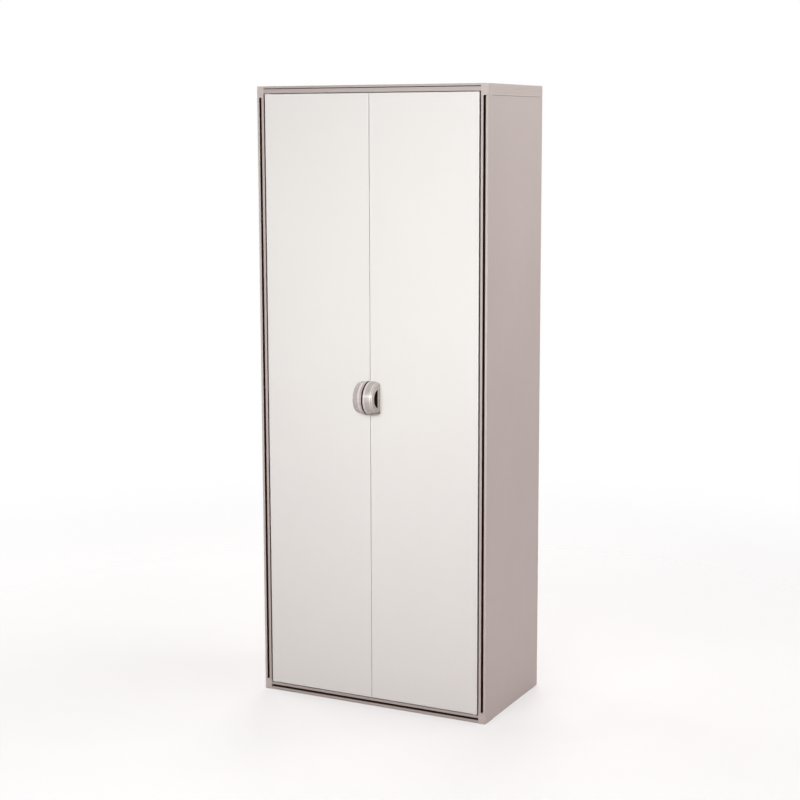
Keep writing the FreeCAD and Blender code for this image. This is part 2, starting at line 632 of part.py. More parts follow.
def foot(s, front):
    """Levelling foot, screwed fully in: a glide disc on a threaded stud."""
    b = body("%s_%s_levelling_foot" % ("front" if front else "rear", NAME[s]))
    x, y = P["footX"] * s, P["footY"] * (-1 if front else 1)
    z0 = P["footLift"]
    z1 = z0 + P["footThick"]
    upward(b, [], z0, z1, [(x, y, P["footRad"])])
    round_edges(b, 1.2, lambda m, t, e: near(m.z, z1.v) or near(m.z, z0.v))
    upward(b, [], z1, z1 + 3, [(x, y, P["studRad"] + 3)])
    upward(b, [], z1 + 3, P["studTop"], [(x, y, P["studRad"])])
    # hexagon socket in the top of the stud, reached through the floor
    r, c = 2.3, 2.3 * 0.57735
    hexagon = [(x + 2 * c, y), (x + c, y + r), (x - c, y + r), (x - 2 * c, y), (x - c, y - r), (x + c, y - r)]
    cut_up(b, [hexagon], P["studTop"] - 4, P["studTop"] + 1)
    return b


def foot_nuts():
    """Square nut plates inside the bottom side rails."""
    b = body("foot_nut_plates")
    x, y, z1 = P["footX"], P["footY"], P["botStrip"] - P["wall"]
    upward(b, [rect(x - 12, y - 12, x + 12, y + 12)], z1 - P["plateTall"], z1)
    cut_up(b, [], z1 - P["plateTall"] - 1, z1 + 1, [(x, y, P["studRad"] + 0.4)])
    doc.recompute()
    transforms(b, [("mirror", "YZ_Plane"), ("mirror", "XZ_Plane")])
    return b


def back_screws():
    """Pan-head screws that hold the back panel to the rear flanges."""
    b = body("back_panel_screws")
    x = W2 - P["rearFlange"] / 2 - 2
    n, z0, z1 = 6, P["connTall"] + 60, H - P["connTall"] - 60
    rearward(b, [], D2, D2 + P["smallHeadTall"], [(x, z0, P["smallHead"])])
    round_edges(b, 0.8, lambda m, t, e: near(m.y, D2.v + P["smallHeadTall"].v))
    transforms(b, [("mirror", "YZ_Plane"), ("row", "Z_Axis", z1 - z0, n)])
    return b


# ------------------------------------------------------------------ doors ---

def door_x(s):
    """The x of a distance measured outwards from the middle of the front."""
    return (lambda d: q(d)) if s > 0 else (lambda d: -q(d))


def span(x, a, b, s):
    """Two x values in rising order."""
    return (x(a), x(b)) if s > 0 else (x(b), x(a))


IN = P["centreGap"] / 2
OUT = W2 - P["doorOuter"]
REAR = FRONT + P["doorThick"]
PX, PY = OUT - P["pivotIn"], FRONT + P["pivotBack"]


def door_panel(s):
    """Folded steel door: skin, edges turned back, then turned in again behind. On
    the hinge side the skin ends in a closed hem that stands out past the edge."""
    b = body(NAME[s] + "_door_panel")
    x = door_x(s)
    a, c = span(x, IN, OUT, s)
    z0, z1, k = P["doorLow"], P["doorHigh"], P["doorLip"]
    rearward(b, [rect(a, z0, c, z1)], FRONT, REAR)
    round_edges(b, 1.4, lambda m, t, e: near(m.y, FRONT.v))
    edge = OUT - P["doorHem"]
    a, c = span(x, edge, OUT + 1, s)
    cut_rear(b, [rect(a, z0 - 1, c, z1 + 1)], FRONT + P["hemThick"], REAR + 1)
    a, c = span(x, IN + k, edge - k, s)
    cut_rear(b, [rect(a, z0 + k, c, z1 - k)], REAR - T, REAR + 1)
    a, c = span(x, IN + T, edge - T, s)
    cut_rear(b, [rect(a, z0 + T, c, z1 - T)], FRONT + T, REAR - T)
    cut_up(b, [], z0 - 1, z1 + 1, [(x(PX), PY, P["pinRad"])])
    # screw holes of the pull, through the skin
    cut_rear(b, [], FRONT - 1, FRONT + T + 1, [(x(P["bossX"]), P["pullZ"] + P["bossZ"], P["screwRad"]),
                                              (x(P["bossX"]), P["pullZ"] - P["bossZ"], P["screwRad"])])
    return b


def door_stiffener(s):
    """Top-hat channel inside the door, from top to bottom."""
    b = body(NAME[s] + "_door_stiffener")
    x = door_x(s)
    m = (IN + OUT) / 2
    h, f = P["stiffWide"] / 2, P["stiffFlange"]
    y0, y1 = FRONT + T, REAR - T
    loop = [(m - h - f, y0), (m - h + T, y0), (m - h + T, y1 - T), (m + h - T, y1 - T), (m + h - T, y0),
            (m + h + f, y0), (m + h + f, y0 + T), (m + h, y0 + T), (m + h, y1), (m - h, y1), (m - h, y0 + T),
            (m - h - f, y0 + T)]
    loop = [(x(a), c) for a, c in loop]
    upward(b, [fixed(loop, s)], P["doorLow"] + T + EPS, P["doorHigh"] - T - EPS)
    return b


def hinge_blocks(s):
    """Steel blocks in the outer corners of the door, which hold the pivot pins."""
    b = body(NAME[s] + "_hinge_blocks")
    x = door_x(s)
    edge = OUT - P["doorHem"] - T
    a, c = span(x, edge - P["blockWide"], edge, s)
    y0, y1 = FRONT + T, FRONT + T + P["blockDeep"]
    z0, z1 = P["doorLow"] + T, P["doorHigh"] - T
    upward(b, [rect(a, y0, c, y1)], z0, z0 + P["blockTall"])
    upward(b, [rect(a, y0, c, y1)], z1 - P["blockTall"], z1)
    cut_up(b, [], z0 - 1, z0 + P["blockTall"] + 1, [(x(PX), PY, P["pinRad"])])
    cut_up(b, [], z1 - P["blockTall"] - 1, z1 + 1, [(x(PX), PY, P["pinRad"])])
    return b


def hinge_pins(s):
    """The two pivot pins, pressed into the blocks and standing into the bushes."""
    b = body(NAME[s] + "_hinge_pins")
    x = door_x(s)
    z0, z1 = P["doorLow"] + T, P["doorHigh"] - T
    upward(b, [], P["botStrip"] - P["bushTall"] + 0.5, z0 + P["blockTall"], [(x(PX), PY, P["pinRad"])])
    upward(b, [], z1 - P["blockTall"], H - P["topStrip"] + P["bushTall"] - 0.5, [(x(PX), PY, P["pinRad"])])
    round_edges(b, 0.6, lambda m, t, e: abs(t.z) < .01 and (near(m.z, (P["botStrip"] - P["bushTall"] + 0.5).v) or
                                                           near(m.z, (H - P["topStrip"] + P["bushTall"] - 0.5).v)))
    return b


def strike_plate(s):
    b = body(NAME[s] + "_strike_plate")
    x = door_x(s)
    a, c = span(x, P["catchX"] - 14, P["catchX"] + 14, s)
    z0 = P["catchLow"] + 1
    rearward(b, [rect(a, z0, c, z0 + 12)], REAR, REAR + P["strikeThick"])
    round_edges(b, 2.0, lambda m, t, e: abs(t.y) > .99)
    return b


def handle(s):
    """Half of the round pull: a crowned barrel round an axis along X, hollow and
    open at the back, closed at the middle of the cupboard, with a D-shaped
    finger opening in its outer end."""
    b = body(NAME[s] + "_door_handle")
    x = door_x(s)
    w = P["pullWall"]
    y_axis = FRONT - P["pullFront"]

    def profile(inset, xa, xb, name):
        """Barrel profile in local x, radius: a crowned top between two end faces."""
        sk = b.newObject("Sketcher::SketchObject", name)
        sk.AttachmentSupport = [(origin(b, "XY_Plane"), "")]
        sk.MapMode = "FlatFace"
        crown = P["pullCrown"] - inset
        centre = P["pullRad"] - P["pullCrown"]
        sgn = 1 if s > 0 else -1

        def rise(xx):
            return centre.v + (crown.v ** 2 - xx.v ** 2) ** 0.5

        xa, xb = q(xa), q(xb)
        p = [V(sgn * xa.v, 0, 0), V(sgn * xa.v, rise(xa), 0), V(sgn * xb.v, rise(xb), 0), V(sgn * xb.v, 0, 0)]
        sk.addGeometry(Part.LineSegment(p[0], p[1]))
        a1 = arc(sk, 0, centre, crown, *((p[2], p[1]) if s > 0 else (p[1], p[2])))
        sk.addGeometry(Part.LineSegment(p[2], p[3]))
        sk.addGeometry(Part.LineSegment(p[3], p[0]))
        head, tail = (2, 1) if s > 0 else (1, 2)
        sk.addConstraint(Sketcher.Constraint("Coincident", 0, 2, a1, head))
        sk.addConstraint(Sketcher.Constraint("Coincident", a1, tail, 2, 1))
        sk.addConstraint(Sketcher.Constraint("Coincident", 2, 2, 3, 1))
        sk.addConstraint(Sketcher.Constraint("Coincident", 3, 2, 0, 1))
        sk.addConstraint(Sketcher.Constraint("Vertical", 0))
        sk.addConstraint(Sketcher.Constraint("Vertical", 2))
        datum(sk, "DistanceX", 0, 1, xa * sgn)
        datum(sk, "DistanceY", 0, 1, 0)
        datum(sk, "DistanceX", 2, 2, xb * sgn)
        datum(sk, "DistanceY", 2, 2, 0)
        return sk

    # built about its own axis: local y grows towards the rear, local z up
    xa, xb = P["pullGap"] / 2, P["pullHalf"]
    f = b.newObject("PartDesign::Revolution", "Barrel")
    f.Profile = profile(q(0), xa, xb, "BarrelProfile")
    f.ReferenceAxis = (origin(b, "X_Axis"), [""])
    f.Angle = 360
    b.Tip = f
    doc.recompute()
    # cut off flat where it meets the door
    big = P["pullRad"] + 5
    cut_across(b, [rect(P["pullFront"], -big, big, big)], *span(x, xa - 1, xb + 1, s))
    round_edges(b, P["pullEdge"], lambda m, t, e: near(abs(m.x), xb.v) and e.Curve.TypeId == "Part::GeomCircle")
    round_edges(b, 1.2, lambda m, t, e: near(abs(m.x), xa.v) and e.Curve.TypeId == "Part::GeomCircle")
    doc.recompute()
    g = b.newObject("PartDesign::Groove", "Hollow")
    g.Profile = profile(w, xa + w, xb - w, "HollowProfile")
    g.ReferenceAxis = (origin(b, "X_Axis"), [""])
    g.Angle = 360
    b.Tip = g
    # closed back behind the hollow
    rr = P["pullRad"]
    half = [(x(xa + 1), rr - 1.5), (x(12), rr - 2), (x(20), rr - 3.1), (x(28), rr - 4.6), (x(xb - 1), rr - 6.2)]
    rearward(b, [fixed([(u, -v) for u, v in half] + half[::-1], s)], P["pullFront"] - w, P["pullFront"])
    # finger opening: straight towards the door, curved outwards
    hh, drop = P["holeHalf"], P["holeDrop"]
    ya, yb = P["pullFront"] - P["holeNear"], P["pullFront"] - P["holeFar"]
    rise = ya - yb
    r = (hh * hh + rise * rise) / (rise * 2)
    x0, x1 = span(x, xb - w - 3, xb + 1, s)
    sk = b.newObject("Sketcher::SketchObject", "Opening")
    sk.AttachmentSupport = [(origin(b, "YZ_Plane"), "")]
    sk.MapMode = "FlatFace"
    sk.AttachmentOffset = FreeCAD.Placement(V(0, 0, x0.v), FreeCAD.Rotation())
    sk.setExpression(".AttachmentOffset.Base.z", x0.e)
    up, down = V(ya.v, hh.v - drop.v, 0), V(ya.v, -hh.v - drop.v, 0)
    g = arc(sk, yb + r, -drop, r, up, down)
    line = sk.addGeometry(Part.LineSegment(down, up))
    sk.addConstraint(Sketcher.Constraint("Coincident", g, 2, line, 1))
    sk.addConstraint(Sketcher.Constraint("Coincident", line, 2, g, 1))
    sk.addConstraint(Sketcher.Constraint("Vertical", line))
    datum(sk, "DistanceX", line, 1, ya)
    pocket(b, sk, x1 - x0, back=True)
    round_edges(b, 0.8, lambda m, t, e: near(abs(m.x), xb.v) and
                ((m.y - yb.v - r.v) ** 2 + (m.z + drop.v) ** 2) ** 0.5 < r.v + 0.1 and m.y < ya.v + 0.1)
    # screw bosses
    bx, bz, br = x(P["bossX"]), P["bossZ"], P["bossRad"]
    rearward(b, [], P["pullFront"] - P["bossLong"], P["pullFront"], [(bx, bz, br), (bx, -bz, br)])
    cut_rear(b, [], P["pullFront"] - 14, P["pullFront"] + 1, [(bx, bz, P["screwRad"]), (bx, -bz, P["screwRad"])])
    b.Placement = FreeCAD.Placement(V(0, y_axis.v, P["pullZ"].v), FreeCAD.Rotation())
    b.setExpression(".Placement.Base.y", y_axis.e)
    b.setExpression(".Placement.Base.z", P["pullZ"].e)
    return b


def handle_screws(s):
    """Pan-head screws from inside the door into the pull."""
    b = body(NAME[s] + "_handle_screws")
    bx = door_x(s)(P["bossX"])
    y0 = FRONT + T
    spots = [(bx, P["pullZ"] + P["bossZ"]), (bx, P["pullZ"] - P["bossZ"])]
    rearward(b, [], y0, y0 + P["headTall"], [(u, v, P["headRad"]) for u, v in spots])
    round_edges(b, 0.9, lambda m, t, e: near(m.y, y0.v + P["headTall"].v))
    rearward(b, [], FRONT - 12, y0, [(u, v, P["screwRad"]) for u, v in spots])
    doc.recompute()
    # cross recess
    for u, v in spots:
        cut_rear(b, [rect(u - 1.9, v - 0.4, u + 1.9, v + 0.4)], y0 + P["headTall"] - 1, y0 + P["headTall"] + 1)
        cut_rear(b, [rect(u - 0.4, v - 1.9, u + 0.4, v + 1.9)], y0 + P["headTall"] - 1, y0 + P["headTall"] + 1)
    return b


for s in (-1, 1):
    side_panel(s)
    front_post(s)
    top_side_rail(s)
    base_side_rail(s)
for which in ("left", "right", "top", "bottom"):
    groove_trim(which)
for top in (True, False):
    front_rail(top)
    rear_rail(top)
    for front in (True, False):
        for s in (-1, 1):
            connector(s, top, front)
top_panel()
floor_panel()
back_panel()
header_rail()
for front in (True, False):
    for s in (-1, 1):
        upright(s, front)
for i in range(1, int(P["shelfCount"].v) + 1):
    shelf(i)
shelf_clips()
hinge_bushes()
magnetic_catches()
door_buffers()
foot_nuts()
back_screws()
for front in (True, False):
    for s in (-1, 1):
        foot(s, front)
for s in (-1, 1):
    door_panel(s)
    door_stiffener(s)
    hinge_blocks(s)
    hinge_pins(s)
    strike_plate(s)
    handle(s)
    handle_screws(s)

doc.recompute()
for obj in doc.Objects:
    if "Invalid" in obj.State or "Error" in obj.State:
        raise RuntimeError("%s: %s" % (obj.Label, obj.State))
for b in nodes:
    if b.Shape.isNull() or not b.Shape.isValid() or b.Shape.Volume <= 0:
        raise RuntimeError("bad shape: " + b.Label)

os.makedirs("parts", exist_ok=True)
for b in nodes:
    b.Shape.exportStep("parts/%s.step" % b.Label)
    print("%-34s solids %2d  volume %10.0f" % (b.Label, len(b.Shape.Solids), b.Shape.Volume))
print(len(nodes), "nodes")
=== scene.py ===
"""Looks of a tall two-door cupboard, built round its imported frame. Metres, +Z up, doors towards -Y."""
import bpy
import json
import math
from mathutils import Matrix, Vector

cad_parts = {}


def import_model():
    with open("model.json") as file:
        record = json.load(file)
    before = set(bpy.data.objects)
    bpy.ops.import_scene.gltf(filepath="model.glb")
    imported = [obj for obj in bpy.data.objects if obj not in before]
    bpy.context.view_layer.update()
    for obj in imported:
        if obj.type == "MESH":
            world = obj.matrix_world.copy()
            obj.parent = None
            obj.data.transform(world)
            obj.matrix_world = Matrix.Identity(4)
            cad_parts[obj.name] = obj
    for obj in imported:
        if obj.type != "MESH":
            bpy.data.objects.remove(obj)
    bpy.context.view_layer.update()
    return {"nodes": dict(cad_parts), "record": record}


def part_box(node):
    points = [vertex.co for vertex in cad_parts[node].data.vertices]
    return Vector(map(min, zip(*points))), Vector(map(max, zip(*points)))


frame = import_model()
NODES = frame["nodes"]
SCENE = bpy.context.scene

# ------------------------------------------------------------------ camera
# focal length 1682.5 px on an 800 px wide picture, turned 26.6 degrees to the right of the front
AZ, PITCH, ROLL = 0.46488, 0.14604, -0.00266
fwd = Vector((-math.sin(AZ) * math.cos(PITCH), math.cos(AZ) * math.cos(PITCH), -math.sin(PITCH)))
right = Vector((math.cos(AZ), math.sin(AZ), 0))
up = right.cross(fwd)
rr = math.cos(ROLL) * right + math.sin(ROLL) * up
uu = -math.sin(ROLL) * right + math.cos(ROLL) * up
cam = bpy.data.cameras.new("Camera")
cam.sensor_width = 36.0
cam.lens = 1682.48 / 800 * 36.0
cam.shift_x, cam.shift_y = 0.0, -0.03
cam.clip_start, cam.clip_end = 0.05, 200.0
camera = bpy.data.objects.new("Camera", cam)
camera.matrix_world = Matrix((
    (rr.x, uu.x, -fwd.x, 2.42827),
    (rr.y, uu.y, -fwd.y, -4.84745),
    (rr.z, uu.z, -fwd.z, 1.84700),
    (0, 0, 0, 1)))
SCENE.collection.objects.link(camera)
SCENE.camera = camera
SCENE.view_settings.view_transform = "Standard"


# ------------------------------------------------------------------ node helpers
class Graph:
    """Short-hand for a shader's nodes."""

    def __init__(self, tree):
        self.tree = tree
        tree.nodes.clear()

    def add(self, kind, inputs=None, out=None, **props):
        n = self.tree.nodes.new(kind)
        for k, v in props.items():
            setattr(n, k, v)
        for k, v in (inputs or {}).items():
            if isinstance(v, bpy.types.NodeSocket):
                self.tree.links.new(v, n.inputs[k])
            else:
                n.inputs[k].default_value = v
        return n if out is None else n.outputs[out]

    def place(self):
        return self.add("ShaderNodeTexCoord", out="Object")

    def stretch(self, vector, sx, sy, sz, shift=(0, 0, 0)):
        return self.add("ShaderNodeMapping", {"Vector": vector, "Scale": (sx, sy, sz), "Location": shift}, out="Vector")

    def noise(self, vector, scale, detail=2.0, rough=0.5, distortion=0.0):
        return self.add("ShaderNodeTexNoise", {"Vector": vector, "Scale": scale, "Detail": detail,
                                               "Roughness": rough, "Distortion": distortion}, out="Fac")

    def ramp(self, value, a, b, c=0.0, d=1.0, smooth=False):
        return self.add("ShaderNodeMapRange", {"Value": value, "From Min": a, "From Max": b, "To Min": c, "To Max": d},
                        out="Result", interpolation_type="SMOOTHSTEP" if smooth else "LINEAR")

    def math(self, op, a, b=0.0, clamp=False):
        return self.add("ShaderNodeMath", {0: a, 1: b}, out="Value", operation=op, use_clamp=clamp)

    def mix(self, fac, a, b, blend="MIX"):
        n = self.add("ShaderNodeMix", {0: fac, 6: a, 7: b}, data_type="RGBA", blend_type=blend)
        return n.outputs[2]

    def bump(self, height, distance, normal=None, strength=1.0):
        ins = {"Height": height, "Distance": distance, "Strength": strength}
        if normal is not None:
            ins["Normal"] = normal
        return self.add("ShaderNodeBump", ins, out="Normal")

    def bevel(self, radius, samples=6):
        return self.add("ShaderNodeBevel", {"Radius": radius}, out="Normal", samples=samples)

    def edge(self, rounded, near, far):
        """1 on an outer or inner edge, 0 on the flat, from a rounded normal."""
        flat = self.add("ShaderNodeNewGeometry", out="Normal")
        dot = self.add("ShaderNodeVectorMath", {0: rounded, 1: flat}, out="Value", operation="DOT_PRODUCT")
        return self.ramp(dot, near, far, 0.0, 1.0, smooth=True)


def rgb(r, g, b):
    return (r, g, b, 1.0)


def shade(colour, k):
    return (colour[0] * k, colour[1] * k, colour[2] * k, 1.0)


def material(name):
    m = bpy.data.materials.new(name)
    m.use_nodes = True
    return m, Graph(m.node_tree)


def surface(g, base, rough, normal, metallic=0.0, **fixed):
    """The closing shader. Fixed values sit on its own sockets."""
    ins = {"Base Color": base, "Roughness": rough, "Normal": normal, "Metallic": metallic}
    ins.update(fixed)
    bsdf = g.add("ShaderNodeBsdfPrincipled", ins, out="BSDF")
    g.add("ShaderNodeOutputMaterial", {"Surface": bsdf})


# ------------------------------------------------------------------ materials
def powder_coat(name, colour, rough, peel=0.00016, cloud=0.03, edge_radius=0.0012, worn=1.10, tint=(1.0, 1.0, 1.0),
                buckle=0.0, grain_axis=None):
    """Baked powder paint on sheet steel or extrusion: orange peel, fine grain, slow drift of tone, thin film on edges."""
    m, g = material(name)
    at = g.place()
    slow = g.noise(g.stretch(at, 1.0, 1.0, 0.55), 3.2, 3.0, 0.55, 0.3)
    mid = g.noise(at, 19.0, 4.0, 0.6)
    speck = g.noise(at, 1400.0, 1.0, 0.5)
    round_normal = g.bevel(edge_radius)
    edge = g.edge(round_normal, 0.995, 0.80)
    patchy = g.ramp(g.noise(at, 42.0, 3.0, 0.65), 0.36, 0.66)
    wear = g.math("MULTIPLY", edge, patchy)
    darker = shade(colour, 1.0 - cloud)
    lighter = (colour[0] * (1 + cloud * 0.6) * tint[0], colour[1] * (1 + cloud * 0.6) * tint[1],
               colour[2] * (1 + cloud * 0.6) * tint[2], 1.0)
    base = g.mix(g.ramp(slow, 0.30, 0.70), darker, lighter)
    base = g.mix(g.ramp(mid, 0.35, 0.75, 0.0, 0.25), base, shade(colour, 1.0 - cloud * 1.4))
    base = g.mix(g.ramp(speck, 0.60, 0.80, 0.0, 0.10), base, shade(colour, 0.84))
    base = g.mix(g.math("MULTIPLY", wear, 0.55), base, shade(colour, worn))
    r = g.ramp(mid, 0.3, 0.7, rough - 0.035, rough + 0.045)
    r = g.math("ADD", r, g.ramp(slow, 0.3, 0.7, -0.02, 0.03))
    r = g.math("SUBTRACT", r, g.math("MULTIPLY", wear, 0.07), clamp=True)
    normal = round_normal
    if buckle:
        normal = g.bump(g.noise(g.stretch(at, 1.0, 1.0, 0.6), 2.1, 1.0, 0.4), buckle, normal)
    if grain_axis:
        sx, sy, sz = grain_axis
        normal = g.bump(g.noise(g.stretch(at, sx, sy, sz), 900.0, 2.0, 0.5), 0.00005, normal)
    normal = g.bump(g.noise(at, 420.0, 2.0, 0.45), peel, normal)
    normal = g.bump(speck, peel * 0.22, normal)
    surface(g, base, r, normal, **{"IOR": 1.5})
    return m


def moulded(name, colour, rough, grain=1500.0, depth=0.00008, cloud=0.04, edge_radius=0.0010, worn=1.12, ribs=None, coat=0.0):
    """Injection-moulded plastic: spark-eroded grain, faint flow marks, rubbed edges."""
    m, g = material(name)
    at = g.place()
    flow = g.noise(g.stretch(at, 1.0, 1.0, 2.5), 26.0, 3.0, 0.6, 1.2)
    fine = g.noise(at, grain, 2.0, 0.6)
    round_normal = g.bevel(edge_radius)
    edge = g.edge(round_normal, 0.995, 0.78)
    patchy = g.ramp(g.noise(at, 120.0, 3.0, 0.6), 0.35, 0.62)
    wear = g.math("MULTIPLY", edge, patchy)
    base = g.mix(g.ramp(flow, 0.3, 0.7), shade(colour, 1.0 - cloud), shade(colour, 1.0 + cloud * 0.5))
    base = g.mix(g.ramp(fine, 0.62, 0.82, 0.0, 0.14), base, shade(colour, 0.8))
    base = g.mix(g.math("MULTIPLY", wear, 0.5), base, shade(colour, worn))
    r = g.ramp(flow, 0.3, 0.7, rough - 0.04, rough + 0.05)
    r = g.math("SUBTRACT", r, g.math("MULTIPLY", wear, 0.10), clamp=True)
    normal = round_normal
    if ribs:
        wave = g.add("ShaderNodeTexWave", {"Vector": at, "Scale": ribs, "Distortion": 0.0, "Detail": 0.0}, out="Fac",
                     wave_type="BANDS", bands_direction="X", wave_profile="SIN")
        normal = g.bump(wave, 0.00018, normal)
    normal = g.bump(fine, depth, normal)
    surface(g, base, r, normal, **{"IOR": 1.49, "Coat Weight": coat, "Coat Roughness": 0.25})
    return m


def pull_shell(name, colour, rough, silver):
    """Satin, silver-pigmented lacquer of the split pull, fine-turned round the barrel's axis, with painted shade in its
    base colour:
    the lower half is darkened a little and the underside strongly, and the hollow inside and the two facing flats are
    painted dark."""
    m, g = material(name)
    at = g.place()
    lo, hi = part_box("right_door_handle")
    half, front, zc = hi[0], lo[1], (lo[2] + hi[2]) / 2
    radius = (hi[2] - lo[2]) / 2
    crown, axis_y = 0.120, front + radius
    xyz = g.add("ShaderNodeSeparateXYZ", {0: at})
    ax = g.math("ABSOLUTE", xyz.outputs["X"])
    dy = g.math("SUBTRACT", xyz.outputs["Y"], axis_y)
    dz = g.math("SUBTRACT", xyz.outputs["Z"], zc)
    r = g.math("SQRT", g.math("ADD", g.math("MULTIPLY", dy, dy), g.math("MULTIPLY", dz, dz)))
    skin = g.math("ADD", g.math("SQRT", g.math("SUBTRACT", crown * crown, g.math("MULTIPLY", ax, ax))), radius - crown)
    # painted shade: the hollow inside (under the skin, inward of the end faces) and the two facing flats of the split
    # get a dark colour that stands in for the shade in there
    under = g.ramp(g.math("SUBTRACT", skin, r), 0.0014, 0.0020)
    inward = g.ramp(ax, half - 0.0010, half - 0.0018)
    dark_painted_shade = g.math("MULTIPLY", under, inward)
    flat = g.ramp(ax, 0.00255, 0.00225)
    dark_painted_shade = g.math("MAXIMUM", dark_painted_shade, flat, clamp=True)
    flow = g.noise(g.stretch(at, 1.0, 1.0, 2.5), 26.0, 3.0, 0.6, 1.2)
    fine = g.noise(at, 2200.0, 2.0, 0.6)
    turned = g.noise(g.stretch(at, 1.0, 0.03, 0.03), 1500.0, 2.0, 0.55)
    bands = g.noise(g.stretch(at, 1.0, 0.015, 0.015), 230.0, 1.5, 0.5)
    round_normal = g.bevel(0.0008)
    edge = g.edge(round_normal, 0.995, 0.78)
    wear = g.math("MULTIPLY", edge, g.ramp(g.noise(at, 120.0, 3.0, 0.6), 0.35, 0.62))
    base = g.mix(g.ramp(flow, 0.3, 0.7), shade(colour, 0.965), shade(colour, 1.02))
    base = g.mix(g.ramp(bands, 0.46, 0.54), base, shade(colour, 0.60))
    base = g.mix(g.ramp(turned, 0.35, 0.7, 0.0, 0.22), base, shade(colour, 0.88))
    base = g.mix(g.ramp(fine, 0.62, 0.82, 0.0, 0.12), base, shade(colour, 0.8))
    base = g.mix(g.math("MULTIPLY", wear, 0.5), base, shade(colour, 1.14))
    # painted shade: the lower half of the barrel is darkened slightly and its downward-facing underside strongly, in
    # the base colour
    down = g.math("DIVIDE", dz, skin)
    underside_painted_shade = g.math("ADD", g.ramp(down, 0.05, -0.45, 0.0, 0.20), g.ramp(down, -0.78, -0.93, 0.0, 0.82), clamp=True)
    base = g.mix(underside_painted_shade, base, rgb(colour[0] * 0.22, colour[1] * 0.18, colour[2] * 0.17))
    # painted shade: dark brown in the hollow, near-black on the facing flats
    base = g.mix(dark_painted_shade, base, rgb(0.170, 0.100, 0.058))
    base = g.mix(flat, base, rgb(0.040, 0.028, 0.019))
    rr_ = g.ramp(flow, 0.3, 0.7, rough - 0.03, rough + 0.04)
    # the painted-shade region is also made rough, and fully metallic on its dark base, so it reflects next to nothing
    rr_ = g.math("ADD", rr_, g.math("MULTIPLY", dark_painted_shade, 0.62), clamp=True)
    flake = g.ramp(dark_painted_shade, 0.0, 1.0, silver, 1.0)
    normal = g.bump(turned, 0.00003, round_normal)
    normal = g.bump(fine, 0.00003, normal)
    surface(g, base, rr_, normal, metallic=flake, **{"IOR": 1.48})
    return m


def zinc(name, colour=(0.62, 0.62, 0.61), rough=0.34):
    """Bright zinc plate: brushed grain, a cloudy passivated film, duller in the hollows."""
    m, g = material(name)
    at = g.place()
    cloud = g.noise(at, 160.0, 4.0, 0.65, 0.6)
    brush = g.noise(g.stretch(at, 1.0, 1.0, 0.06), 2600.0, 3.0, 0.6)
    pits = g.noise(at, 900.0, 2.0, 0.5)
    round_normal = g.bevel(0.0004)
    edge = g.edge(round_normal, 0.99, 0.75)
    base = g.mix(g.ramp(cloud, 0.3, 0.7), shade(colour, 0.86), rgb(colour[0] * 1.04, colour[1] * 1.05, colour[2] * 1.10))
    base = g.mix(g.ramp(pits, 0.62, 0.80, 0.0, 0.35), base, shade(colour, 0.55))
    base = g.mix(g.math("MULTIPLY", edge, 0.5), base, shade(colour, 1.25))
    r = g.math("ADD", g.ramp(cloud, 0.3, 0.7, rough - 0.06, rough + 0.10), g.ramp(brush, 0.3, 0.7, -0.05, 0.05), clamp=True)
    normal = g.bump(brush, 0.00003, round_normal)
    normal = g.bump(pits, 0.00003, normal)
    surface(g, base, r, normal, metallic=1.0)
    return m


def rubbery(name, colour, rough=0.72, ior=1.5):
    """Black rubber or matt extrusion: fine pores, a dusty bloom, paler on its edges."""
    m, g = material(name)
    at = g.place()
    bloom = g.noise(at, 34.0, 4.0, 0.62)
    fine = g.noise(at, 1800.0, 2.0, 0.6)
    round_normal = g.bevel(0.0005)
    edge = g.edge(round_normal, 0.99, 0.80)
    base = g.mix(g.ramp(bloom, 0.35, 0.75, 0.0, 0.55), rgb(*colour), rgb(colour[0] * 1.9, colour[1] * 1.85, colour[2] * 1.8))
    base = g.mix(g.math("MULTIPLY", edge, 0.35), base, rgb(colour[0] * 2.6, colour[1] * 2.5, colour[2] * 2.4))
    r = g.ramp(bloom, 0.3, 0.7, rough - 0.08, rough + 0.12)
    normal = g.bump(fine, 0.00008, round_normal)
    surface(g, base, r, normal, **{"IOR": ior})
    return m


MATERIALS = {
    "door_paint": powder_coat("door_paint_coat", (0.874, 0.886, 0.854), 0.36, cloud=0.012, worn=1.04, buckle=0.0006),
    "carcass_paint": powder_coat("carcass_paint_coat", (0.608, 0.562, 0.527), 0.42, cloud=0.022, buckle=0.0006),
    "shelf_paint": powder_coat("shelf_paint_coat", (0.600, 0.552, 0.524), 0.44, cloud=0.03),
    "inner_paint": powder_coat("inner_paint_coat", (0.600, 0.552, 0.524), 0.46, cloud=0.03),
    # the front rails keep the darkest of three tones of this one frame paint; the posts and top side rails get lighter
    # copies below, as painted light
    "frame_profile": powder_coat("frame_profile_coat", (0.515, 0.468, 0.442), 0.36, peel=0.00010, cloud=0.02,
                                 edge_radius=0.0009, worn=1.16, grain_axis=(0.012, 1.0, 1.0)),
    "moulded_corner": moulded("moulded_corner_grain", (0.625, 0.568, 0.536), 0.46),
    "moulded_pull": pull_shell("moulded_pull_satin", (0.830, 0.785, 0.752), 0.26, 0.07),
    "zinc_steel": zinc("zinc_steel_plate"),
    "nylon": moulded("nylon_natural", (0.72, 0.70, 0.63), 0.42, depth=0.00003, edge_radius=0.0004),
    "catch_plastic": moulded("catch_plastic_white", (0.70, 0.68, 0.63), 0.40, depth=0.00003, edge_radius=0.0006),
    "groove_trim": rubbery("groove_trim_black", (0.037, 0.013, 0.006), 0.68, 1.34),
    "rubber": rubbery("rubber_black", (0.022, 0.021, 0.020), 0.78),
    "foot_plastic": rubbery("foot_plastic_black", (0.028, 0.027, 0.026), 0.55),
}
